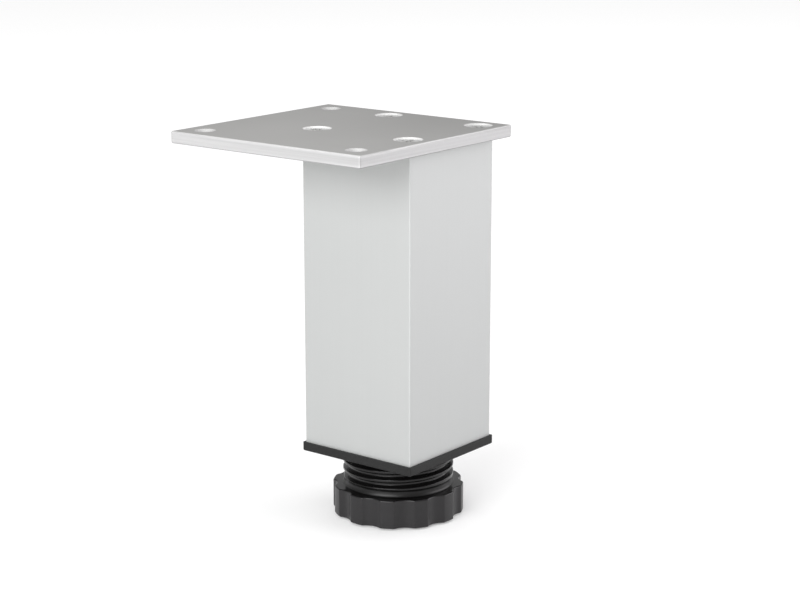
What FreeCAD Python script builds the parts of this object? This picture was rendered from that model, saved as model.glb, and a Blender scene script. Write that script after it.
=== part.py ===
"""Height adjustable table leg: a square aluminium tube under an offset top plate, on a screw foot.

Millimetres, +Z up. The origin is on the foot's axis, on the floor. The plate overhangs towards -X and -Y.
"""
import FreeCAD
import Part
import math
import os

import Sketcher

# Driving dimensions, one cell each: alias, value, meaning
SIZES = [
    ("tube_side", 45, "outside width of the square tube"),
    ("tube_length", 104, "length of the tube"),
    ("tube_wall", 1.5, "wall of the tube"),
    ("tube_corner", 0.4, "outer corner radius of the tube"),
    ("port_bore", 3.8, "bore of the screw port in each corner of the tube"),
    ("port_skin", 1.6, "metal between a port's bore and the tube's faces"),
    ("port_wall", 1.2, "wall of a port towards the inside"),
    ("port_slit", 1.4, "slit that opens a port to the inside"),
    ("plate_margin", 4.5, "plate beyond the tube on the +X and +Y sides"),
    ("plate_overhang", 30.5, "plate beyond the tube on the -X and -Y sides"),
    ("plate_thickness", 4, "thickness of the plate"),
    ("plate_corner", 0.6, "corner radius of the plate"),
    ("plate_edge", 0.3, "broken edge round the plate"),
    ("mount_inset", 8, "mounting holes from the plate's edges"),
    ("mount_bore", 4, "mounting hole for a wood screw"),
    ("mount_sink", 7, "countersink of a mounting hole"),
    ("screw_head", 8.6, "head of a plate screw"),
    ("screw_depth", 0.5, "head below the plate's top face"),
    ("screw_length", 16, "plate screw, overall"),
    ("screw_point", 1.2, "taper at a screw's tip"),
    ("screw_fit", 0.05, "radial play of a screw in its port and seat"),
    ("screw_play", 0.3, "radial play of a screw in the plate"),
    ("recess_depth", 1.2, "depth of the cross recess"),
    ("recess_wing", 1, "width of a wing of the cross recess"),
    ("recess_skin", 0.4, "metal between a wing's foot and the head's cone"),
    ("flange_overhang", 0.8, "end cap beyond the tube's faces"),
    ("flange_thickness", 3, "end cap's flange"),
    ("flange_corner", 0.6, "corner radius of the flange"),
    ("flange_edge", 0.3, "broken lower edge of the flange"),
    ("spigot_height", 18, "end cap inside the tube"),
    ("spigot_play", 0.15, "play of the end cap in the tube"),
    ("spigot_lead", 0.8, "lead-in at the top of the end cap"),
    ("cap_wall", 1.55, "end cap's wall where it is thinnest"),
    ("thread_pitch", 3, "pitch of the foot's thread, one start, right hand"),
    ("thread_depth", 1.5, "depth of the foot's thread"),
    ("thread_crest", 1.1, "flat on a crest"),
    ("thread_root", 1.1, "flat in a root"),
    ("thread_play", 0.3, "radial play between the two threads"),
    ("flank_play", 0.25, "play along the axis between the threads' flanks"),
    ("ridge_entry", 2.5, "least height of the end cap's thread above the flange's lower face"),
    ("ridge_turns", 3, "turns of the end cap's thread"),
    ("bore_lead", 0.8, "lead-in at the lower mouth of the bore"),
    ("rest_extension", 12, "gap between the wheel and the flange as pictured"),
    ("wheel_rim", 3.5, "wheel beyond the thread"),
    ("wheel_height", 10, "height of the hand wheel"),
    ("wheel_edge", 0.5, "broken edges of the wheel"),
    ("lobe_count", 12, "lobes round the wheel"),
    ("lobe_turn", 28.5, "angle of a lobe's middle from the +X side, in degrees"),
    ("lobe_round", 0.3, "radius left on a lobe's corners inside the broken edge"),
    ("flute_radius", 6, "radius of a flute between lobes"),
    ("flute_depth", 1.3, "depth of a flute"),
    ("neck_height", 2, "plain neck between the wheel and the thread"),
    ("thread_start", 3.25, "middle of the thread's first groove above the wheel, on the -X side"),
    ("neck_step", 0.6, "neck below the thread's crests"),
    ("neck_flare", 0.8, "bevel at the foot of the neck"),
    ("stem_length", 31, "stem above the wheel"),
    ("stem_wall", 3, "stem's wall inside the thread's root"),
    ("stem_lead", 1, "lead-in at the top of the stem"),
    ("base_thickness", 3.5, "floor of the foot over the glide"),
    ("rim_wall", 1.8, "wheel's wall round the glide"),
    ("glide_thickness", 2.2, "disc of the floor glide"),
    ("glide_proud", 0.6, "glide below the wheel"),
    ("glide_edge", 0.4, "broken lower edge of the glide"),
    ("glide_play", 0.4, "radial play round the glide"),
    ("stud_radius", 4.5, "snap stud of the glide"),
    ("stud_play", 0.3, "play round the stud and under its lip"),
    ("lip_reach", 0.7, "stud's lip beyond its hole in the foot"),
    ("lip_height", 1.6, "stud's lip"),
    ("lip_band", 0.6, "straight part of the lip"),
    ("stud_slot", 1.2, "slot that lets the stud flex"),
    ("slot_rise", 1, "slot's floor above the glide's disc"),
    ("cut_overshoot", 0.4, "how far a cutting profile stands out of what it cuts"),
    ("ridge_sink", 0.4, "how far the inner thread is rooted in the cap's wall"),
]

# Sizes that follow from the driving ones: alias, formula
FOLLOWING = [
    ("tube_half", "=tube_side / 2"),
    ("cavity_half", "=tube_half - tube_wall"),
    ("port_radius", "=port_bore / 2"),
    ("port_centre", "=tube_half - port_skin - port_radius"),
    ("port_diagonal", "=port_centre * sqrt(2)"),
    ("port_boss", "=port_radius + port_wall"),
    ("slit_inner", "=port_diagonal - port_boss - cut_overshoot"),
    ("slit_half", "=port_slit / 2"),
    ("plate_near", "=tube_half + plate_margin"),
    ("plate_far", "=tube_half + plate_overhang"),
    ("mount_near", "=plate_near - mount_inset"),
    ("mount_far", "=plate_far - mount_inset"),
    ("mount_radius", "=mount_bore / 2"),
    ("screw_shank", "=port_radius - screw_fit"),
    ("screw_hole", "=2 * (screw_shank + screw_play)"),
    ("screw_sink", "=screw_head + 2 * (screw_depth + screw_fit)"),
    ("screw_head_radius", "=screw_head / 2"),
    ("screw_top", "=plate_thickness - screw_depth"),
    ("screw_neck", "=screw_top - screw_head_radius + screw_shank"),
    ("screw_drop", "=screw_length - screw_top"),
    ("screw_taper", "=screw_drop - screw_point"),
    ("screw_tip", "=screw_shank / 2"),
    ("wing_end", "=screw_head_radius - recess_depth - recess_skin"),
    ("wing_half", "=recess_wing / 2"),
    ("flange_half", "=tube_half + flange_overhang"),
    ("spigot_half", "=cavity_half - spigot_play"),
    ("spigot_relief", "=port_boss + spigot_play"),
    ("spigot_top", "=flange_thickness + spigot_height"),
    ("bore_radius", "=spigot_half - cap_wall"),
    ("thread_radius", "=bore_radius - thread_play"),
    ("root_radius", "=thread_radius - thread_depth"),
    ("flank_slope", "=(thread_pitch - thread_crest - thread_root) / 2 / thread_depth"),
    ("groove_centre", "=wheel_height + thread_start"),
    ("groove_outer", "=thread_radius + cut_overshoot"),
    ("groove_root_half", "=thread_root / 2"),
    ("groove_outer_half", "=groove_root_half + flank_slope * (thread_depth + cut_overshoot)"),
    ("groove_root_low", "=groove_centre - groove_root_half"),
    ("groove_root_high", "=groove_centre + groove_root_half"),
    ("groove_outer_low", "=groove_centre - groove_outer_half"),
    ("groove_outer_high", "=groove_centre + groove_outer_half"),
    ("groove_height", "=stem_length - thread_start + thread_pitch"),
    ("ridge_turns_down", "=ceil((rest_extension - thread_start + ridge_entry) / thread_pitch)"),
    ("ridge_centre", "=thread_start - rest_extension + thread_pitch * ridge_turns_down"),
    ("ridge_tip", "=root_radius + thread_play"),
    ("ridge_outer", "=bore_radius + ridge_sink"),
    ("ridge_tip_half", "=groove_root_half + flank_slope * thread_play - flank_play"),
    ("ridge_outer_half", "=ridge_tip_half + flank_slope * (ridge_outer - ridge_tip)"),
    ("ridge_tip_low", "=ridge_centre - ridge_tip_half"),
    ("ridge_tip_high", "=ridge_centre + ridge_tip_half"),
    ("ridge_outer_low", "=ridge_centre - ridge_outer_half"),
    ("ridge_outer_high", "=ridge_centre + ridge_outer_half"),
    ("ridge_height", "=thread_pitch * ridge_turns"),
    ("wheel_radius", "=thread_radius + wheel_rim"),
    ("flute_centre", "=wheel_radius - flute_depth + flute_radius"),
    ("flute_angle", "=lobe_turn + 180 / lobe_count"),
    ("lobe_corner", "=wheel_edge + lobe_round"),
    ("neck_radius", "=thread_radius - neck_step"),
    ("neck_top", "=wheel_height + neck_height"),
    ("thread_bottom", "=neck_top + neck_step"),
    ("stem_top", "=wheel_height + stem_length"),
    ("stem_shoulder", "=stem_top - stem_lead"),
    ("stem_end_radius", "=thread_radius - stem_lead"),
    ("core_radius", "=root_radius - stem_wall"),
    ("core_depth", "=stem_top - glide_recess - base_thickness"),
    ("glide_recess", "=glide_thickness - glide_proud"),
    ("recess_radius", "=wheel_radius - flute_depth - rim_wall"),
    ("glide_radius", "=recess_radius - glide_play"),
    ("glide_foot", "=glide_radius - glide_edge"),
    ("stud_hole", "=stud_radius + stud_play"),
    ("lip_radius", "=stud_hole + lip_reach"),
    ("lip_base", "=glide_thickness + base_thickness + stud_play"),
    ("lip_shoulder", "=lip_base + lip_band"),
    ("stud_top", "=lip_base + lip_height"),
    ("slot_half", "=stud_slot / 2"),
    ("slot_floor", "=glide_thickness + slot_rise"),
    ("slot_top", "=stud_top + cut_overshoot"),
    ("flange_base", "=glide_proud + wheel_height + rest_extension"),
    ("tube_base", "=flange_base + flange_thickness"),
    ("plate_base", "=tube_base + tube_length"),
]

FULL_TURN = 360
CORNERS = 4
UP = FreeCAD.Vector(0, 0, 1)
SAME_PLACE = 1e-4

doc = FreeCAD.newDocument("adjustable_leg")
sheet = doc.addObject("Spreadsheet::Sheet", "Sizes")
for row, (alias, value, meaning) in enumerate(SIZES, start=1):
    sheet.set(f"A{row}", meaning)
    sheet.set(f"B{row}", str(value))
    sheet.setAlias(f"B{row}", alias)
for row, (alias, formula) in enumerate(FOLLOWING, start=1):
    sheet.set(f"D{row}", formula)
    sheet.setAlias(f"D{row}", alias)
doc.recompute()


def size(alias):
    """The number in a cell; a minus sign before the alias negates it, and "0" is nought."""
    if alias == "0":
        return 0.0
    if alias.startswith("-"):
        return -size(alias[1:])
    return float(sheet.get(alias))


def bind(target, path, alias):
    target.setExpression(path, f"Sizes.{alias}")


def new_body(label, base=None):
    """A body whose own zero height is its lower face, which stands at the height base."""
    body = doc.addObject("PartDesign::Body", label)
    body.Label = label
    if base:
        bind(body, "Placement.Base.z", base)
    return body


def origin_feature(body, role):
    return next(item for item in body.Origin.OriginFeatures if item.Role == role)


def new_sketch(body, name, role="XY_Plane", height=None):
    sketch = body.newObject("Sketcher::SketchObject", name)
    sketch.AttachmentSupport = [(origin_feature(body, role), "")]
    sketch.MapMode = "FlatFace"
    if height:
        bind(sketch, "AttachmentOffset.Base.z", height)
    return sketch


def constrain(sketch, alias, *constraint):
    """Add a dimension whose value is read from a cell."""
    index = sketch.addConstraint(Sketcher.Constraint(*constraint, size(alias)))
    bind(sketch, f"Constraints[{index}]", alias)


def fix_point(sketch, element, end, x, y):
    """Hold a point at the signed distances x and y from the sketch's origin."""
    for kind, axis, alias in (("DistanceX", -2, x), ("DistanceY", -1, y)):
        if alias == "0":
            sketch.addConstraint(Sketcher.Constraint("PointOnObject", element, end, axis))
        elif alias.startswith("-"):
            constrain(sketch, alias[1:], kind, element, end, -1, 1)
        else:
            constrain(sketch, alias, kind, -1, 1, element, end)


def add_polygon(sketch, corners):
    """A closed outline through corners, each a pair of aliases."""
    points = [FreeCAD.Vector(size(x), size(y), 0) for x, y in corners]
    for start, end in zip(points, points[1:] + points[:1]):
        sketch.addGeometry(Part.LineSegment(start, end))
    for line, (x, y) in enumerate(corners):
        following = (line + 1) % len(corners)
        sketch.addConstraint(Sketcher.Constraint("Coincident", line, 2, following, 1))
        fix_point(sketch, line, 1, x, y)


def add_rectangle(sketch, left, right, bottom, top):
    add_polygon(sketch, [(left, bottom), (right, bottom), (right, top), (left, top)])


def add_circle(sketch, x, y, radius):
    centre = FreeCAD.Vector(size(x), size(y), 0)
    circle = sketch.addGeometry(Part.Circle(centre, UP, size(radius)))
    constrain(sketch, radius, "Radius", circle)
    fix_point(sketch, circle, 3, x, y)


def at_ports():
    """The four port centres, as pairs of aliases, in order round the axis from the +X +Y corner."""
    signs = (("", ""), ("-", ""), ("-", "-"), ("", "-"))
    return [(f"{x}port_centre", f"{y}port_centre") for x, y in signs]


def add_ported_square(sketch, half, relief):
    """A square outline whose corners step round the four screw ports in arcs."""
    centre = size("port_centre")
    step = size(half) - centre
    reach = math.sqrt(size(relief) ** 2 - step ** 2)
    first_angle = math.atan2(step, -reach)
    last_angle = math.atan2(-reach, step) + math.tau
    for quarter, (x, y) in enumerate(at_ports()):
        turned = quarter * math.tau / CORNERS
        rotation = FreeCAD.Rotation(UP, math.degrees(turned))
        circle = Part.Circle(FreeCAD.Vector(size(x), size(y), 0), UP, size(relief))
        arc = sketch.addGeometry(Part.ArcOfCircle(circle, first_angle + turned, last_angle + turned))
        top = rotation.multVec(FreeCAD.Vector(size(half), centre - reach, 0))
        bottom = rotation.multVec(FreeCAD.Vector(size(half), reach - centre, 0))
        side = sketch.addGeometry(Part.LineSegment(top, bottom))
        sketch.addConstraint(Sketcher.Constraint("Coincident", arc, 2, side, 1))
        constrain(sketch, relief, "Radius", arc)
        fix_point(sketch, arc, 3, x, y)
    sides = (("Vertical", "DistanceX", False), ("Horizontal", "DistanceY", False),
             ("Vertical", "DistanceX", True), ("Horizontal", "DistanceY", True))
    for quarter, (direction, kind, negative) in enumerate(sides):
        side = 2 * quarter + 1
        arc_before = (side - 3) % (2 * CORNERS)
        ends = (side, 1, -1, 1) if negative else (-1, 1, side, 1)
        sketch.addConstraint(Sketcher.Constraint("Coincident", side, 2, arc_before, 1))
        sketch.addConstraint(Sketcher.Constraint(direction, side))
        constrain(sketch, half, kind, *ends)


def pad(body, sketch, name, length):
    feature = body.newObject("PartDesign::Pad", name)
    feature.Profile = sketch
    bind(feature, "Length", length)
    doc.recompute()
    return feature


def revolve(body, sketch, name):
    """Turn a profile once round its sketch's upright axis."""
    feature = body.newObject("PartDesign::Revolution", name)
    feature.Profile = sketch
    feature.ReferenceAxis = (sketch, ["V_Axis"])
    feature.Angle = FULL_TURN
    doc.recompute()
    return feature


def checked_cut(body, feature, before):
    """A cut that points away from the solid removes nothing, so its volume is compared."""
    doc.recompute()
    if not feature.Shape.Volume < before:
        raise RuntimeError(f"{body.Label}: {feature.Name} removes nothing")
    return feature


def pocket(body, sketch, name, depth=None, upward=False):
    """A cut from the sketch to a depth, or right through both ways."""
    before = body.Shape.Volume
    feature = body.newObject("PartDesign::Pocket", name)
    feature.Profile = sketch
    if depth:
        bind(feature, "Length", depth)
        feature.Reversed = upward
    else:
        feature.SideType = "Symmetric"
        feature.Type = "ThroughAll"
    return checked_cut(body, feature, before)


def sunk_holes(body, sketch, name, bore, sink):
    """Countersunk holes through the body, down from the sketch's circles."""
    doc.recompute()
    before = body.Shape.Volume
    feature = body.newObject("PartDesign::Hole", name)
    feature.Profile = sketch
    feature.DepthType = "ThroughAll"
    feature.HoleCutType = "Countersink"
    feature.HoleCutCustomValues = True
    bind(feature, "Diameter", bore)
    bind(feature, "HoleCutDiameter", sink)
    return checked_cut(body, feature, before)


def wind(body, sketch, name, kind, height):
    """A thread: a profile wound round the sketch's upright axis."""
    feature = body.newObject(kind, name)
    feature.Profile = sketch
    feature.ReferenceAxis = (sketch, ["V_Axis"])
    feature.Mode = "pitch-height-angle"
    bind(feature, "Pitch", "thread_pitch")
    bind(feature, "Height", height)
    doc.recompute()
    return feature


def polar_pattern(body, originals, name):
    """Repeat features evenly round the body's upright axis, once for each corner of the tube."""
    feature = body.newObject("PartDesign::PolarPattern", name)
    feature.Originals = originals
    feature.Axis = (origin_feature(body, "Z_Axis"), [""])
    feature.Angle = FULL_TURN
    feature.Occurrences = CORNERS
    body.Tip = feature
    doc.recompute()
    return feature


def edges_where(feature, wanted):
    return [f"Edge{number}" for number, edge in enumerate(feature.Shape.Edges, start=1) if wanted(edge)]


def lies_at(edge, *levels):
    """True for an edge that lies flat at one of the levels."""
    box = edge.BoundBox
    return any(abs(box.ZMin - level) + abs(box.ZMax - level) < SAME_PLACE for level in levels)


def is_ring(edge, radius):
    return len(edge.Vertexes) == 1 and abs(edge.Length - math.tau * radius) < SAME_PLACE


def is_upright(edge):
    box = edge.BoundBox
    return box.ZLength > SAME_PLACE and box.XLength + box.YLength < SAME_PLACE


def fillet(body, base, name, edges, radius):
    feature = body.newObject("PartDesign::Fillet", name)
    feature.Base = (base, edges)
    bind(feature, "Radius", radius)
    doc.recompute()
    return feature


def chamfer(body, base, name, edges, width):
    feature = body.newObject("PartDesign::Chamfer", name)
    feature.Base = (base, edges)
    bind(feature, "Size", width)
    doc.recompute()
    return feature


def make_top_plate():
    """Square plate, offset from the tube, with sunk holes for the tube's and the table's screws."""
    body = new_body("top_plate", "plate_base")
    outline = new_sketch(body, "plate_outline")
    add_rectangle(outline, "-plate_far", "plate_near", "-plate_far", "plate_near")
    slab = pad(body, outline, "plate_slab", "plate_thickness")
    rounded = fillet(body, slab, "plate_corners", edges_where(slab, is_upright), "plate_corner")
    rims = edges_where(rounded, lambda edge: lies_at(edge, 0, size("plate_thickness")))
    chamfer(body, rounded, "plate_edges", rims, "plate_edge")
    tube_holes = new_sketch(body, "tube_screw_places", height="plate_thickness")
    for x, y in at_ports():
        add_circle(tube_holes, x, y, "screw_shank")
    sunk_holes(body, tube_holes, "tube_screw_holes", "screw_hole", "screw_sink")
    table_holes = new_sketch(body, "table_screw_places", height="plate_thickness")
    corners = (("-mount_far", "-mount_far"), ("-mount_far", "mount_near"), ("mount_near", "-mount_far"))
    for x, y in corners:
        add_circle(table_holes, x, y, "mount_radius")
    sunk_holes(body, table_holes, "table_screw_holes", "mount_bore", "mount_sink")
    return body


def make_leg_tube():
    """Extruded square tube with an open screw port in each corner."""
    body = new_body("leg_tube", "tube_base")
    outline = new_sketch(body, "tube_outline")
    add_rectangle(outline, "-tube_half", "tube_half", "-tube_half", "tube_half")
    bar = pad(body, outline, "tube_bar", "tube_length")
    fillet(body, bar, "tube_corners", edges_where(bar, is_upright), "tube_corner")
    cavity = new_sketch(body, "cavity_outline")
    add_ported_square(cavity, "cavity_half", "port_boss")
    pocket(body, cavity, "cavity")
    bores = new_sketch(body, "port_places")
    for x, y in at_ports():
        add_circle(bores, x, y, "port_radius")
    pocket(body, bores, "port_bores")
    slit = new_sketch(body, "slit_outline")
    diagonal = FreeCAD.Rotation(UP, FULL_TURN / CORNERS / 2)
    slit.AttachmentOffset = FreeCAD.Placement(FreeCAD.Vector(), diagonal)
    add_rectangle(slit, "slit_inner", "port_diagonal", "-slit_half", "slit_half")
    polar_pattern(body, [pocket(body, slit, "port_slit_cut")], "port_slits")
    return body


def make_plate_screws():
    """Four countersunk screws with cross recesses, one in each port."""
    body = new_body("plate_screws", "plate_base")
    profile = new_sketch(body, "screw_profile", "XZ_Plane")
    bind(profile, "AttachmentOffset.Base.x", "port_centre")
    profile.setExpression("AttachmentOffset.Base.z", "-Sizes.port_centre")
    add_polygon(profile, [
        ("0", "screw_top"),
        ("screw_head_radius", "screw_top"),
        ("screw_shank", "screw_neck"),
        ("screw_shank", "-screw_taper"),
        ("screw_tip", "-screw_drop"),
        ("0", "-screw_drop"),
    ])
    turned = revolve(body, profile, "screw_turned")
    cross = new_sketch(body, "recess_outline", height="screw_top")
    bind(cross, "AttachmentOffset.Base.x", "port_centre")
    bind(cross, "AttachmentOffset.Base.y", "port_centre")
    add_polygon(cross, [
        ("wing_end", "-wing_half"), ("wing_end", "wing_half"), ("wing_half", "wing_half"),
        ("wing_half", "wing_end"), ("-wing_half", "wing_end"), ("-wing_half", "wing_half"),
        ("-wing_end", "wing_half"), ("-wing_end", "-wing_half"), ("-wing_half", "-wing_half"),
        ("-wing_half", "-wing_end"), ("wing_half", "-wing_end"), ("wing_half", "-wing_half"),
    ])
    recess = pocket(body, cross, "screw_recess", "recess_depth")
    polar_pattern(body, [turned, recess], "screw_set")
    return body


def make_end_cap():
    """Moulded cap: a flange under the tube, a spigot inside it and the foot's inner thread."""
    body = new_body("end_cap", "flange_base")
    outline = new_sketch(body, "flange_outline")
    add_rectangle(outline, "-flange_half", "flange_half", "-flange_half", "flange_half")
    slab = pad(body, outline, "flange_slab", "flange_thickness")
    rounded = fillet(body, slab, "flange_corners", edges_where(slab, is_upright), "flange_corner")
    rim = edges_where(rounded, lambda edge: lies_at(edge, 0))
    chamfer(body, rounded, "flange_rim", rim, "flange_edge")
    plug = new_sketch(body, "spigot_outline", height="flange_thickness")
    add_ported_square(plug, "spigot_half", "spigot_relief")
    raised = pad(body, plug, "spigot", "spigot_height")
    top = edges_where(raised, lambda edge: lies_at(edge, size("spigot_top")))
    chamfer(body, raised, "spigot_lead_in", top, "spigot_lead")
    mouth = new_sketch(body, "bore_outline")
    add_circle(mouth, "0", "0", "bore_radius")
    bored = pocket(body, mouth, "bore")
    lower_mouth = edges_where(bored, lambda edge: lies_at(edge, 0) and is_ring(edge, size("bore_radius")))
    chamfer(body, bored, "bore_lead_in", lower_mouth, "bore_lead")
    ridge = new_sketch(body, "ridge_profile", "XZ_Plane")
    add_polygon(ridge, [
        ("-ridge_outer", "ridge_outer_low"), ("-ridge_tip", "ridge_tip_low"),
        ("-ridge_tip", "ridge_tip_high"), ("-ridge_outer", "ridge_outer_high"),
    ])
    wind(body, ridge, "inner_thread", "PartDesign::AdditiveHelix", "ridge_height")
    return body


def make_adjuster_foot():
    """Moulded screw foot: a lobed hand wheel under a cored stem with a trapezoidal thread."""
    body = new_body("adjuster_foot", "glide_proud")
    disc = new_sketch(body, "wheel_outline")
    add_circle(disc, "0", "0", "wheel_radius")
    pad(body, disc, "wheel_disc", "wheel_height")
    flute = new_sketch(body, "flute_outline")
    flute.setExpression("AttachmentOffset.Rotation.Angle", "Sizes.flute_angle")
    add_circle(flute, "flute_centre", "0", "flute_radius")
    fluted = polar_pattern(body, [pocket(body, flute, "flute")], "flutes")
    bind(fluted, "Occurrences", "lobe_count")
    doc.recompute()
    softened = fillet(body, fluted, "lobe_corners", edges_where(fluted, is_upright), "lobe_corner")
    rims = edges_where(softened, lambda edge: lies_at(edge, 0, size("wheel_height")))
    chamfer(body, softened, "wheel_edges", rims, "wheel_edge")
    profile = new_sketch(body, "stem_profile", "XZ_Plane")
    add_polygon(profile, [
        ("0", "glide_recess"),
        ("neck_radius", "glide_recess"),
        ("neck_radius", "neck_top"),
        ("thread_radius", "thread_bottom"),
        ("thread_radius", "stem_shoulder"),
        ("stem_end_radius", "stem_top"),
        ("0", "stem_top"),
    ])
    stem = revolve(body, profile, "stem")
    neck_foot = edges_where(
        stem, lambda edge: lies_at(edge, size("wheel_height")) and is_ring(edge, size("neck_radius")))
    chamfer(body, stem, "neck_foot", neck_foot, "neck_flare")
    core = new_sketch(body, "core_outline", height="stem_top")
    add_circle(core, "0", "0", "core_radius")
    pocket(body, core, "core", "core_depth")
    seat = new_sketch(body, "glide_seat_outline")
    add_circle(seat, "0", "0", "recess_radius")
    pocket(body, seat, "glide_seat", "glide_recess", upward=True)
    hole = new_sketch(body, "stud_hole_outline")
    add_circle(hole, "0", "0", "stud_hole")
    before = pocket(body, hole, "stud_hole_cut").Shape.Volume
    groove = new_sketch(body, "groove_profile", "XZ_Plane")
    add_polygon(groove, [
        ("-groove_outer", "groove_outer_low"), ("-root_radius", "groove_root_low"),
        ("-root_radius", "groove_root_high"), ("-groove_outer", "groove_outer_high"),
    ])
    thread = wind(body, groove, "outer_thread", "PartDesign::SubtractiveHelix", "groove_height")
    checked_cut(body, thread, before)
    return body


def make_floor_glide():
    """Round floor pad on which the foot turns, held by a split stud that snaps through the foot's base."""
    body = new_body("floor_glide")
    profile = new_sketch(body, "glide_profile", "XZ_Plane")
    add_polygon(profile, [
        ("0", "0"),
        ("glide_foot", "0"),
        ("glide_radius", "glide_edge"),
        ("glide_radius", "glide_thickness"),
        ("stud_radius", "glide_thickness"),
        ("stud_radius", "lip_base"),
        ("lip_radius", "lip_base"),
        ("lip_radius", "lip_shoulder"),
        ("stud_radius", "stud_top"),
        ("0", "stud_top"),
    ])
    revolve(body, profile, "glide_turned")
    slot = new_sketch(body, "slot_outline", "XZ_Plane")
    add_rectangle(slot, "-slot_half", "slot_half", "slot_floor", "slot_top")
    pocket(body, slot, "stud_split")
    return body


def check(bodies):
    """Stop before anything is written if an object failed or a solid isn't sound."""
    doc.recompute()
    for item in doc.Objects:
        if {"Invalid", "Error"} & set(item.State):
            raise RuntimeError(f"{item.Label} failed: {item.State}")
    for body in bodies:
        if body.Shape.isNull() or not body.Shape.isValid():
            raise RuntimeError(f"{body.Label} has no sound shape")


bodies = [
    make_top_plate(),
    make_leg_tube(),
    make_plate_screws(),
    make_end_cap(),
    make_adjuster_foot(),
    make_floor_glide(),
]
check(bodies)
os.makedirs("parts", exist_ok=True)
for body in bodies:
    body.Shape.exportStep(f"parts/{body.Label}.step")
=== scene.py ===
"""Looks of the height adjustable table leg: anodised tube, brushed plate, zinc screws, black foot."""
import math

import bpy
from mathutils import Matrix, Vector


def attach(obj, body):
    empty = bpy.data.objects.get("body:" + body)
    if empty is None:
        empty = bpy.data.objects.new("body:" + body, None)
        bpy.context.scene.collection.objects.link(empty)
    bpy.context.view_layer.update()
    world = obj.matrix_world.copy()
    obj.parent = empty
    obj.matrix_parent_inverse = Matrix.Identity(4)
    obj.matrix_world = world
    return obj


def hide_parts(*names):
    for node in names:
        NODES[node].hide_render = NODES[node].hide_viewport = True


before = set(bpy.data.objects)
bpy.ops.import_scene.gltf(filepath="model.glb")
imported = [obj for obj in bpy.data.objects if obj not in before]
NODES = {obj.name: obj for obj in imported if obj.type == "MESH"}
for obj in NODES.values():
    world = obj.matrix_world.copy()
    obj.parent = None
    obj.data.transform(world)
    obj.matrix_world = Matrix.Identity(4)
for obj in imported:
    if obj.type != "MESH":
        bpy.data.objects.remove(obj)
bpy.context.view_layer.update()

MM = 0.001
FULL_TURN = 2 * math.pi
QUARTER_TURN = math.pi / 2

# Camera: the photograph's own pinhole view
IMAGE_WIDTH_PX = 800
FOCAL_LENGTH_PX = 1979.2
SENSOR_WIDTH_MM = 36.0
CLIP_START = 0.01
CAMERA_AZIMUTH = math.radians(38.12)
CAMERA_ELEVATION = math.radians(13.70)
CAMERA_DISTANCE = 669.5 * MM
TARGET_SIDE = 0.62 * MM
TARGET_HEIGHT = 74.56 * MM


def add_camera():
    """A camera that looks at the leg from the front corner, a little from above."""
    back = Vector((
        math.sin(CAMERA_AZIMUTH) * math.cos(CAMERA_ELEVATION),
        -math.cos(CAMERA_AZIMUTH) * math.cos(CAMERA_ELEVATION),
        math.sin(CAMERA_ELEVATION),
    ))
    side = Vector((math.cos(CAMERA_AZIMUTH), math.sin(CAMERA_AZIMUTH), 0))
    target = side * TARGET_SIDE + Vector((0, 0, TARGET_HEIGHT))
    data = bpy.data.cameras.new("camera")
    data.sensor_width = SENSOR_WIDTH_MM
    data.lens = FOCAL_LENGTH_PX * SENSOR_WIDTH_MM / IMAGE_WIDTH_PX
    data.clip_start = CLIP_START
    camera = bpy.data.objects.new("camera", data)
    camera.location = target + back * CAMERA_DISTANCE
    camera.rotation_euler = back.to_track_quat("Z", "Y").to_euler()
    bpy.context.scene.collection.objects.link(camera)
    bpy.context.scene.camera = camera


# Studio: a pale floor that glows less in front, a pale room, and soft boxes above, in front and at the right
WHITE = (1, 1, 1)
FLOOR_SIZE = 8.0
FLOOR_GREY = 0.7
FLOOR_ROUGHNESS = 0.6
# Painted glow of the floor: weaker near the leg, stronger far away, and dimmed in front
FLOOR_GLOW_NEAR = 0.28
FLOOR_GLOW_FAR = 0.5
FLOOR_NEAR = 0.25
FLOOR_FAR = 1.2
FRONT_GLOW = 0.3
FRONT_START = -0.14
FRONT_END = -0.4
ROOM_LIGHT = 0.54
SOFT_BOXES = (
    # name, place, width, height, power in watts, tint
    ("top_box", (0, -0.1, 1.3), 1.4, 1.4, 8, WHITE),
    ("left_box", (0.2, -1.29, 0.74), 1.3, 0.6, 14.4, WHITE),
    ("right_box", (0.9, 0.95, 0.5), 1.5, 0.6, 9.1, (1, 0.97, 1)),
    ("front_box", (0.2, -1.28, 0.36), 0.8, 0.66, 3.8, WHITE),
)
LIGHT_AIM = Vector((0, 0, 80 * MM))


def add_soft_box(name, place, width, height, power, tint):
    """An area light that faces the leg."""
    data = bpy.data.lights.new(name, "AREA")
    data.shape = "RECTANGLE"
    data.size = width
    data.size_y = height
    data.energy = power
    data.color = tint
    light = bpy.data.objects.new(name, data)
    light.location = place
    light.rotation_euler = (Vector(place) - LIGHT_AIM).to_track_quat("Z", "Y").to_euler()
    bpy.context.scene.collection.objects.link(light)


def add_world():
    """A pale room."""
    world = bpy.data.worlds.new("studio")
    bpy.context.scene.world = world
    world.use_nodes = True
    background = world.node_tree.nodes["Background"]
    background.inputs["Color"].default_value = (ROOM_LIGHT, ROOM_LIGHT, ROOM_LIGHT, 1)


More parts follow.
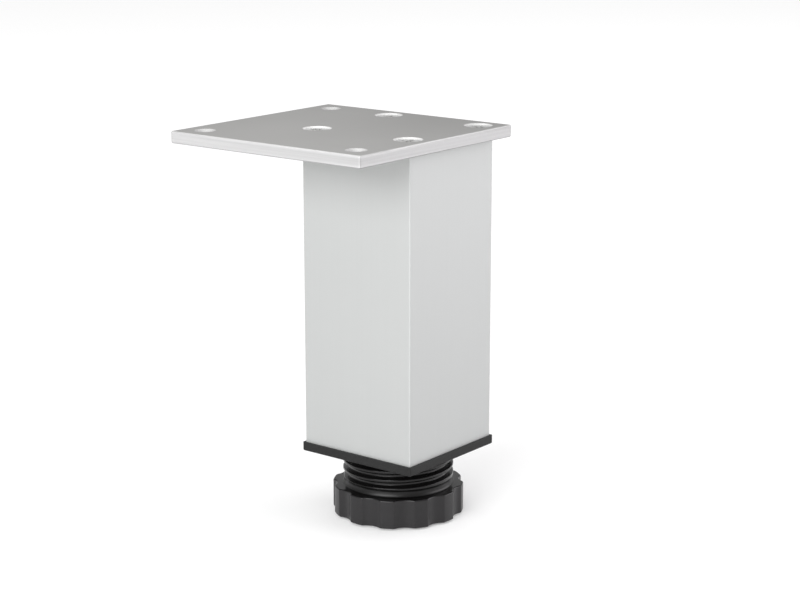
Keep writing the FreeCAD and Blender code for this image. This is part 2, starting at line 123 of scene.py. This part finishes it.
def add_floor():
    """A pale floor with a painted glow of its own, weaker near the leg and dimmed in front."""
    bpy.ops.mesh.primitive_plane_add(size=FLOOR_SIZE)
    floor = bpy.context.active_object
    floor.name = "floor"
    material, tree, shader = new_material("pale_floor")
    shader.inputs["Base Color"].default_value = (FLOOR_GREY, FLOOR_GREY, FLOOR_GREY, 1)
    shader.inputs["Roughness"].default_value = FLOOR_ROUGHNESS
    shader.inputs["Emission Color"].default_value = (*WHITE, 1)
    place = object_place(tree)
    away = tree.nodes.new("ShaderNodeVectorMath")
    away.operation = "LENGTH"
    tree.links.new(place, away.inputs[0])
    distance = away.outputs["Value"]
    # painted glow, weaker near the leg and dimmed in front
    glow = value_between(tree, distance, FLOOR_GLOW_NEAR, FLOOR_GLOW_FAR, FLOOR_NEAR, FLOOR_FAR)
    fade = value_between(tree, axis_of(tree, place, "Y"), FRONT_GLOW, 1, FRONT_END, FRONT_START)
    tree.links.new(product(tree, glow, fade), shader.inputs["Emission Strength"])
    floor.data.materials.append(material)


def add_studio():
    """Room, floor and lights."""
    add_world()
    add_floor()
    for box in SOFT_BOXES:
        add_soft_box(*box)


# Building blocks of the materials
EVEN = (1, 1, 1)
BUMP_DEPTH = 0.02 * MM
CORNER_START = 0.1
CORNER_MIDDLE = 0.5


def new_material(name):
    """A material with its node tree and its shader."""
    material = bpy.data.materials.new(name)
    material.use_nodes = True
    return material, material.node_tree, material.node_tree.nodes["Principled BSDF"]


def object_place(tree):
    """Place on the object, in its own space."""
    return tree.nodes.new("ShaderNodeTexCoord").outputs["Object"]


def face_direction(tree):
    """Direction that the surface faces."""
    return tree.nodes.new("ShaderNodeNewGeometry").outputs["Normal"]


def stretched_noise(tree, scale, stretch, detail=3.0):
    """Noise over the object's own space, drawn out along the directions with a small stretch."""
    mapping = tree.nodes.new("ShaderNodeMapping")
    mapping.inputs["Scale"].default_value = stretch
    noise = tree.nodes.new("ShaderNodeTexNoise")
    noise.inputs["Scale"].default_value = scale
    noise.inputs["Detail"].default_value = detail
    tree.links.new(object_place(tree), mapping.inputs["Vector"])
    tree.links.new(mapping.outputs["Vector"], noise.inputs["Vector"])
    return noise.outputs["Fac"]


def ramp_between(tree, source, low, high, start=0.3, end=0.7):
    """Colours from low to high as source goes from start to end."""
    ramp = tree.nodes.new("ShaderNodeValToRGB")
    first, last = ramp.color_ramp.elements
    first.position = start
    last.position = end
    first.color = (*low, 1)
    last.color = (*high, 1)
    tree.links.new(source, ramp.inputs["Fac"])
    return ramp.outputs["Color"]


def value_between(tree, source, low, high, start=0.0, end=1.0):
    """A value from low to high as source goes from start to end."""
    span = tree.nodes.new("ShaderNodeMapRange")
    span.inputs["From Min"].default_value = start
    span.inputs["From Max"].default_value = end
    span.inputs["To Min"].default_value = low
    span.inputs["To Max"].default_value = high
    tree.links.new(source, span.inputs["Value"])
    return span.outputs["Result"]


def axis_of(tree, source, axis):
    """One axis of a place or direction."""
    split = tree.nodes.new("ShaderNodeSeparateXYZ")
    tree.links.new(source, split.inputs[0])
    return split.outputs[axis]


def absolute(tree, source):
    """A value without its sign."""
    node = tree.nodes.new("ShaderNodeMath")
    node.operation = "ABSOLUTE"
    tree.links.new(source, node.inputs[0])
    return node.outputs["Value"]


def combined(tree, operation, first, second):
    """Two values put together by an operation."""
    node = tree.nodes.new("ShaderNodeMath")
    node.operation = operation
    tree.links.new(first, node.inputs[0])
    tree.links.new(second, node.inputs[1])
    return node.outputs["Value"]


def product(tree, first, *others):
    """All the values multiplied."""
    total = first
    for other in others:
        total = combined(tree, "MULTIPLY", total, other)
    return total


def painted_corner_shading(tree, normal, shade):
    """A factor of 1 on the sides that goes to shade in the middle of an upright corner: a painted highlight
    above 1, painted shade below 1.
    """
    facing_x = absolute(tree, axis_of(tree, normal, "X"))
    facing_y = absolute(tree, axis_of(tree, normal, "Y"))
    turned = product(tree, facing_x, facing_y)
    return value_between(tree, turned, 1, shade, CORNER_START, CORNER_MIDDLE)


def scaled(tree, colour, shade):
    """A colour times a factor."""
    node = tree.nodes.new("ShaderNodeVectorMath")
    node.operation = "SCALE"
    tree.links.new(colour, node.inputs[0])
    tree.links.new(shade, node.inputs["Scale"])
    return node.outputs["Vector"]


def add_bump(tree, shader, source, strength):
    """Fine relief that follows a value."""
    bump = tree.nodes.new("ShaderNodeBump")
    bump.inputs["Strength"].default_value = strength
    bump.inputs["Distance"].default_value = BUMP_DEPTH
    tree.links.new(source, bump.inputs["Height"])
    tree.links.new(bump.outputs["Normal"], shader.inputs["Normal"])


# Tube: satin anodised aluminium, with painted shade towards the bottom and a painted highlight on the
# corners
TUBE_BOTTOM = 25.6 * MM
TUBE_TOP = 129.6 * MM
TUBE_LINES = 1500
TUBE_LINE_STRETCH = (1, 1, 0.01)
TUBE_DARK = (0.508, 0.517, 0.513)
TUBE_LIGHT = (0.518, 0.527, 0.523)
TUBE_METAL = 0.6
TUBE_ROUGHNESS = (0.6, 0.66)
# painted shade towards the bottom of the tube
TUBE_PAINTED_BOTTOM_SHADE = 0.905
# painted highlight on the tube's upright corners
TUBE_CORNER_PAINTED_HIGHLIGHT = 1.1
TUBE_BUMP = 0.015


def anodised_tube():
    """Satin anodised aluminium with faint lines along the extrusion, painted shade towards the bottom and a
    painted highlight on the upright corners.
    """
    material, tree, shader = new_material("anodised_tube")
    lines = stretched_noise(tree, TUBE_LINES, TUBE_LINE_STRETCH)
    height = axis_of(tree, object_place(tree), "Z")
    # painted shade towards the bottom and a painted highlight on the upright corners
    painted_bottom_shade = value_between(tree, height, TUBE_PAINTED_BOTTOM_SHADE, 1, TUBE_BOTTOM, TUBE_TOP)
    shade = product(tree, painted_bottom_shade, painted_corner_shading(tree, face_direction(tree), TUBE_CORNER_PAINTED_HIGHLIGHT))
    satin = ramp_between(tree, lines, TUBE_DARK, TUBE_LIGHT)
    shader.inputs["Metallic"].default_value = TUBE_METAL
    tree.links.new(scaled(tree, satin, shade), shader.inputs["Base Color"])
    tree.links.new(value_between(tree, lines, *TUBE_ROUGHNESS), shader.inputs["Roughness"])
    add_bump(tree, shader, lines, TUBE_BUMP)
    return material


# Plate: brushed faces, sawn edges, cut sinks and bevels, told apart by how far a face looks up; bevels that
# look down get painted shade
PLATE_FRONT = -53 * MM
PLATE_BACK = 27 * MM
OVERHANG_HOLES = -40 * MM
OVERHANG_START = -35 * MM
BRUSHED_FACE = (0.445, 0.441, 0.432)
SAWN_EDGE = (0.54, 0.538, 0.54)
CUT_SINK = (0.64, 0.64, 0.635)
# painted shade on the bevels that look down
PAINTED_SHADE_LOWER_BEVEL = (0.34, 0.338, 0.342)
EDGE_RISE = 0.3
CUT_START = 0.55
CUT_END = 0.85
FACE_RISE = 0.98
PLATE_FINISHES = (
    # upward share of the face's direction, colour, share of bare metal
    (-FACE_RISE, BRUSHED_FACE, 1.0),
    (-CUT_END, PAINTED_SHADE_LOWER_BEVEL, 0.8),
    (-CUT_START, PAINTED_SHADE_LOWER_BEVEL, 0.8),
    (-EDGE_RISE, SAWN_EDGE, 0.65),
    (EDGE_RISE, SAWN_EDGE, 0.65),
    (CUT_START, CUT_SINK, 0.3),
    (CUT_END, CUT_SINK, 0.3),
    (FACE_RISE, BRUSHED_FACE, 1.0),
)
BRUSH_LINES = 2500
BRUSH_STRETCH = (0.02, 1, 1)
SAW_STREAKS = 650
SAW_STRETCH = (0.01, 0.01, 1)
SAW_DETAIL = 2.0
LINE_SHADES = (0.93, 1.07)
STREAK_SHADES = (0.68, 1.32)
# painted light towards the plate's front and painted shade towards its back
PAINTED_FRONT_LIGHT = 1.06
PAINTED_BACK_SHADE = 0.95
# painted light on the edges that face Y, painted shade on the edges that face X
PAINTED_LIGHT_FACING_Y = 1.09
PAINTED_SHADE_FACING_X = 0.88
# painted shade round the plate's upright corners
PLATE_CORNER_PAINTED_SHADE = 0.92
# painted shade on the sinks and upper bevel of the overhang
OVERHANG_CUT_PAINTED_SHADE = 0.73
PLATE_ROUGHNESS = (0.35, 0.5)
PLATE_BUMP = 0.05


def ramp_place(upward):
    """Place on a ramp from faces that look down to faces that look up."""
    return (upward + 1) / 2


def plate_finish(tree, upward):
    """Colour and share of bare metal of the plate's faces, edges, sinks and bevels."""
    ramp = tree.nodes.new("ShaderNodeValToRGB")
    stops = ramp.color_ramp.elements
    for rise, _, _ in PLATE_FINISHES[1:-1]:
        stops.new(ramp_place(rise))
    for stop, (rise, colour, metal) in zip(stops, PLATE_FINISHES):
        stop.position = ramp_place(rise)
        stop.color = (*colour, metal)
    tree.links.new(value_between(tree, upward, 0, 1, -1, 1), ramp.inputs["Fac"])
    return ramp.outputs["Color"], ramp.outputs["Alpha"]


def painted_overhang_cut_shade(tree, upward, across, along):
    """Painted shade: a factor that dims the sinks and the upper bevel of the overhang."""
    outward = combined(tree, "MINIMUM", across, along)
    outer = value_between(tree, outward, 1, 0, OVERHANG_HOLES, OVERHANG_START)
    above_edge = value_between(tree, upward, 0, 1, EDGE_RISE, CUT_START)
    below_face = value_between(tree, upward, 1, 0, CUT_END, FACE_RISE)
    return value_between(tree, product(tree, above_edge, below_face, outer), 1, OVERHANG_CUT_PAINTED_SHADE)


def brushed_plate():
    """Brushed sheet with fine lines along X, sawn edges with streaks, bright cut sinks and bevels, and
    painted light and shade by place and facing.
    """
    material, tree, shader = new_material("brushed_plate")
    normal = face_direction(tree)
    upward = axis_of(tree, normal, "Z")
    colour, metal = plate_finish(tree, upward)
    lines = stretched_noise(tree, BRUSH_LINES, BRUSH_STRETCH)
    streaks = stretched_noise(tree, SAW_STREAKS, SAW_STRETCH, SAW_DETAIL)
    place = object_place(tree)
    across = axis_of(tree, place, "X")
    along = axis_of(tree, place, "Y")
    sideways = absolute(tree, axis_of(tree, normal, "X"))
    shade = product(
        tree,
        value_between(tree, lines, *LINE_SHADES),
        value_between(tree, streaks, *STREAK_SHADES),
        # painted light towards the front, painted shade towards the back
        value_between(tree, along, PAINTED_FRONT_LIGHT, PAINTED_BACK_SHADE, PLATE_FRONT, PLATE_BACK),
        # painted light on edges facing Y, painted shade on edges facing X
        value_between(tree, sideways, PAINTED_LIGHT_FACING_Y, PAINTED_SHADE_FACING_X),
        # painted shade round the plate's corners
        painted_corner_shading(tree, normal, PLATE_CORNER_PAINTED_SHADE),
        # painted shade on the overhang's sinks and upper bevel
        painted_overhang_cut_shade(tree, upward, across, along),
    )
    tree.links.new(scaled(tree, colour, shade), shader.inputs["Base Color"])
    tree.links.new(metal, shader.inputs["Metallic"])
    tree.links.new(value_between(tree, lines, *PLATE_ROUGHNESS), shader.inputs["Roughness"])
    add_bump(tree, shader, lines, PLATE_BUMP)
    return material


# Screws: zinc plated steel
ZINC_MOTTLE = 900
ZINC_DARK = (0.7, 0.7, 0.69)
ZINC_LIGHT = (0.8, 0.8, 0.79)
ZINC_METAL = 1.0
ZINC_ROUGHNESS = (0.25, 0.45)


def zinc_screw():
    """Zinc plated steel with a faint mottle."""
    material, tree, shader = new_material("zinc_screw")
    mottle = stretched_noise(tree, ZINC_MOTTLE, EVEN)
    shader.inputs["Metallic"].default_value = ZINC_METAL
    tree.links.new(ramp_between(tree, mottle, ZINC_DARK, ZINC_LIGHT), shader.inputs["Base Color"])
    tree.links.new(value_between(tree, mottle, *ZINC_ROUGHNESS), shader.inputs["Roughness"])
    return material


# End cap and glide: matte moulded plastic
GRAIN_SCALE = 2600
GRAIN_DETAIL = 2.0
CAP_GREY = 0.02
GLIDE_GREY = 0.025
GRAIN_DARK = 0.85
GRAIN_LIGHT = 1.15
MATTE_ROUGHNESS = (0.38, 0.5)
MATTE_SHINE = 0.12
MATTE_BUMP = 0.08


def black_plastic(name, grey):
    """Matte moulded plastic with a fine spark-eroded grain."""
    material, tree, shader = new_material(name)
    grain = stretched_noise(tree, GRAIN_SCALE, EVEN, GRAIN_DETAIL)
    low = (grey * GRAIN_DARK,) * 3
    high = (grey * GRAIN_LIGHT,) * 3
    tree.links.new(ramp_between(tree, grain, low, high), shader.inputs["Base Color"])
    tree.links.new(value_between(tree, grain, *MATTE_ROUGHNESS), shader.inputs["Roughness"])
    shader.inputs["Specular IOR Level"].default_value = MATTE_SHINE
    add_bump(tree, shader, grain, MATTE_BUMP)
    return material


# Screw foot: lobed wheel, neck and rounded thread in one moulding, as rings round the axis
FOOT_STEPS = 360
WHEEL_BASE = 0.6 * MM
WHEEL_TOP = 10.6 * MM
WHEEL_RADIUS = 22.5 * MM
WHEEL_ROUND = 0.5 * MM
LOBE_COUNT = 12
FLUTE_ANGLE = math.radians(43.5)
FLUTE_RADIUS = 6.0 * MM
FLUTE_CENTRE = 27.2 * MM
LOBE_BLEND = 0.03 * MM
BLEND_REACH = 20
NECK_RADIUS = 18.4 * MM
NECK_FLARE = 0.8 * MM
NECK_STEPS = 8
NECK_TOP = 12.6 * MM
THREAD_RADIUS = 19.0 * MM
THREAD_DEPTH = 1.5 * MM
THREAD_PITCH = 3.0 * MM
THREAD_BOTTOM = 13.2 * MM
FIRST_GROOVE = 13.85 * MM
FIRST_GROOVE_ANGLE = math.pi
ROOT_HALF = 0.25 * MM
CREST_START = 1.25 * MM
STEM_TOP = 41.6 * MM
STEM_LEAD = 1.0 * MM
CORE_RADIUS = 14.5 * MM
CORE_FLOOR = 5.7 * MM
RECESS_RADIUS = 19.4 * MM
RECESS_ROOF = 2.2 * MM
STUD_HOLE = 4.8 * MM
THREAD_STEP = 0.15 * MM
TURN_PROBE = math.radians(0.5)
HEIGHT_PROBE = 0.05 * MM
STEEPEST_TURN = 0.5
EDGE_SUPPORT = 0.06 * MM
ROUND_STEPS = 4
SHARP_ANGLE = math.radians(50)
NO_DIRECTION = Vector((0, 0, 0))

# Foot's finish: matte grained wheel, smooth stem whose darker colour is partly its finish and partly painted
# shade under the end cap
WHEEL_DARK = (0.0137, 0.0128, 0.0137)
WHEEL_LIGHT = (0.0171, 0.0162, 0.0171)
# darker stem colour: partly its smooth finish, partly painted shade under the end cap
STEM_SHADED_DARK = (0.0035, 0.0033, 0.0033)
STEM_SHADED_LIGHT = (0.0045, 0.0042, 0.0042)
WHEEL_ROUGHNESS = 0.36
STEM_ROUGHNESS = 0.17
NECK_EXTRA_ROUGHNESS = 0.19
NECK_FADE = 0.1 * MM
FOOT_SHINE = 0.32
FOOT_BUMP = 0.06


def foot_plastic():
    """Matte grained wheel with a smooth neck and thread above it, darker partly for their finish and partly
    as painted shade under the end cap.
    """
    material, tree, shader = new_material("foot_plastic")
    height = axis_of(tree, object_place(tree), "Z")
    stem = value_between(tree, height, 0, 1, WHEEL_TOP - WHEEL_ROUND, WHEEL_TOP)
    above_wheel = value_between(tree, height, 0, 1, WHEEL_TOP, WHEEL_TOP + NECK_FADE)
    below_thread = value_between(tree, height, 1, 0, NECK_TOP, THREAD_BOTTOM)
    neck = product(tree, above_wheel, below_thread)
    grain = stretched_noise(tree, GRAIN_SCALE, EVEN, GRAIN_DETAIL)
    colour = tree.nodes.new("ShaderNodeMix")
    colour.data_type = "RGBA"
    tree.links.new(stem, colour.inputs["Factor"])
    tree.links.new(ramp_between(tree, grain, WHEEL_DARK, WHEEL_LIGHT), colour.inputs["A"])
    # the stem's darker colour is partly painted shade under the end cap
    tree.links.new(ramp_between(tree, grain, STEM_SHADED_DARK, STEM_SHADED_LIGHT), colour.inputs["B"])
    tree.links.new(colour.outputs["Result"], shader.inputs["Base Color"])
    smooth = value_between(tree, stem, WHEEL_ROUGHNESS, STEM_ROUGHNESS)
    rougher = value_between(tree, neck, 0, NECK_EXTRA_ROUGHNESS)
    tree.links.new(combined(tree, "ADD", smooth, rougher), shader.inputs["Roughness"])
    shader.inputs["Specular IOR Level"].default_value = FOOT_SHINE
    add_bump(tree, shader, grain, FOOT_BUMP)
    return material


def lobed_radius(angle):
    """Outline of the wheel: a circle with shallow flutes between the lobes."""
    period = FULL_TURN / LOBE_COUNT
    off = (angle - FLUTE_ANGLE + period / 2) % period - period / 2
    reach = FLUTE_RADIUS ** 2 - (FLUTE_CENTRE * math.sin(off)) ** 2
    if reach <= 0:
        return WHEEL_RADIUS
    flute = FLUTE_CENTRE * math.cos(off) - math.sqrt(reach)
    over = (flute - WHEEL_RADIUS) / LOBE_BLEND
    if over > BLEND_REACH:
        return WHEEL_RADIUS
    return flute - LOBE_BLEND * math.log1p(math.exp(over))


def eased(share):
    """A smooth step from 0 to 1."""
    return share * share * (3 - 2 * share)


def thread_radius(angle, height):
    """Radius of the threaded stem, with rounded crests and roots."""
    turn = (angle - FIRST_GROOVE_ANGLE) % FULL_TURN / FULL_TURN
    rise = (height - FIRST_GROOVE) / THREAD_PITCH - turn
    groove = max(0, round(rise))
    off = abs(rise - groove) * THREAD_PITCH
    share = min(1, max(0, (off - ROOT_HALF) / (CREST_START - ROOT_HALF)))
    crest = min(THREAD_RADIUS, THREAD_RADIUS + STEM_TOP - STEM_LEAD - height)
    thread = THREAD_RADIUS - THREAD_DEPTH * (1 - eased(share))
    return min(crest, thread)


def thread_normal(angle, height):
    """Direction that the thread's surface faces, or no direction at the groove's blunt start."""
    ahead = thread_radius(angle + TURN_PROBE, height) - thread_radius(angle - TURN_PROBE, height)
    above = thread_radius(angle, height + HEIGHT_PROBE) - thread_radius(angle, height - HEIGHT_PROBE)
    around = ahead / (2 * TURN_PROBE * THREAD_RADIUS)
    upward = above / (2 * HEIGHT_PROBE)
    if abs(around) > STEEPEST_TURN:
        return NO_DIRECTION
    out = Vector((math.cos(angle), math.sin(angle), 0))
    side = Vector((-math.sin(angle), math.cos(angle), 0))
    return (out - side * around - Vector((0, 0, upward))).normalized()


def foot_normal(angle, height):
    """Direction that the foot faces where it is threaded, and no direction elsewhere."""
    if THREAD_BOTTOM + THREAD_STEP < height < STEM_TOP - STEM_LEAD:
        return thread_normal(angle, height)
    return NO_DIRECTION


def plain_ring(radius, height):
    """A round ring, as a function of the angle."""
    def spot(angle):
        return radius, height
    return spot


def lobed_ring(inset, height):
    """A ring along the wheel's outline, as a function of the angle."""
    def spot(angle):
        return lobed_radius(angle) + inset, height
    return spot


def threaded_ring(height):
    """A ring across the thread, as a function of the angle."""
    def spot(angle):
        return thread_radius(angle, height), height
    return spot


def thread_rings():
    """Rings of the thread, from the stem's top down."""
    count = math.ceil((STEM_TOP - THREAD_BOTTOM) / THREAD_STEP)
    return [
        threaded_ring(STEM_TOP - (STEM_TOP - THREAD_BOTTOM) * step / count)
        for step in range(count + 1)
    ]


def neck_rings():
    """Rings of the neck, which flares out to the wheel."""
    rings = []
    for step in range(NECK_STEPS + 1):
        turn = QUARTER_TURN * step / NECK_STEPS
        out = NECK_FLARE * (1 - math.cos(turn))
        drop = (NECK_TOP - WHEEL_TOP) * math.sin(turn)
        rings.append(plain_ring(NECK_RADIUS + out, NECK_TOP - drop))
    return rings


def rounded_rings(start, quarter):
    """Rings round the wheel's upper edge, quarter 0, or its lower edge, quarter 1."""
    rings = []
    for step in range(ROUND_STEPS + 1):
        turn = QUARTER_TURN * (step + quarter * ROUND_STEPS) / ROUND_STEPS
        inset = -WHEEL_ROUND * (1 - math.sin(turn))
        rings.append(lobed_ring(inset, start + WHEEL_ROUND * math.cos(turn)))
    return rings


def foot_rings():
    """Rings of the foot, from the stud's hole up the core, down the outside and in under the wheel."""
    return [
        plain_ring(STUD_HOLE, CORE_FLOOR),
        plain_ring(CORE_RADIUS, CORE_FLOOR),
        plain_ring(CORE_RADIUS, STEM_TOP),
        *thread_rings(),
        *neck_rings(),
        lobed_ring(-WHEEL_ROUND - EDGE_SUPPORT, WHEEL_TOP),
        *rounded_rings(WHEEL_TOP - WHEEL_ROUND, 0),
        lobed_ring(0, WHEEL_TOP - WHEEL_ROUND - EDGE_SUPPORT),
        lobed_ring(0, WHEEL_BASE + WHEEL_ROUND + EDGE_SUPPORT),
        *rounded_rings(WHEEL_BASE + WHEEL_ROUND, 1),
        lobed_ring(-WHEEL_ROUND - EDGE_SUPPORT, WHEEL_BASE),
        plain_ring(RECESS_RADIUS, WHEEL_BASE),
        plain_ring(RECESS_RADIUS, RECESS_ROOF),
        plain_ring(STUD_HOLE, RECESS_ROOF),
    ]


def ring_faces(count):
    """Quads between each ring and the next, and from the last ring back to the first."""
    faces = []
    for row in range(count):
        here = row * FOOT_STEPS
        there = (row + 1) % count * FOOT_STEPS
        for step in range(FOOT_STEPS):
            beside = (step + 1) % FOOT_STEPS
            faces.append((here + step, there + step, there + beside, here + beside))
    return faces


def add_foot():
    """The moulded foot, which turns with the wheel."""
    rings = foot_rings()
    points = []
    normals = []
    for ring in rings:
        for step in range(FOOT_STEPS):
            angle = FULL_TURN * step / FOOT_STEPS
            radius, height = ring(angle)
            points.append((radius * math.cos(angle), radius * math.sin(angle), height))
            normals.append(foot_normal(angle, height))
    mesh = bpy.data.meshes.new("screw_foot")
    mesh.from_pydata(points, [], ring_faces(len(rings)))
    mesh.materials.append(foot_plastic())
    mesh.shade_smooth()
    mesh.set_sharp_from_angle(angle=SHARP_ANGLE)
    mesh.normals_split_custom_set_from_vertices(normals)
    foot = bpy.data.objects.new("screw_foot", mesh)
    bpy.context.scene.collection.objects.link(foot)
    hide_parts("adjuster_foot")
    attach(foot, "foot")


def dress(node, material):
    """Give a node its finish."""
    mesh = NODES[node].data
    mesh.materials.clear()
    mesh.materials.append(material)


def dress_nodes():
    """Finishes of the solids that show as they are."""
    dress("leg_tube", anodised_tube())
    dress("top_plate", brushed_plate())
    dress("plate_screws", zinc_screw())
    dress("end_cap", black_plastic("cap_plastic", CAP_GREY))
    dress("floor_glide", black_plastic("glide_plastic", GLIDE_GREY))


bpy.context.scene.view_settings.view_transform = "Standard"
add_camera()
add_studio()
dress_nodes()
add_foot()
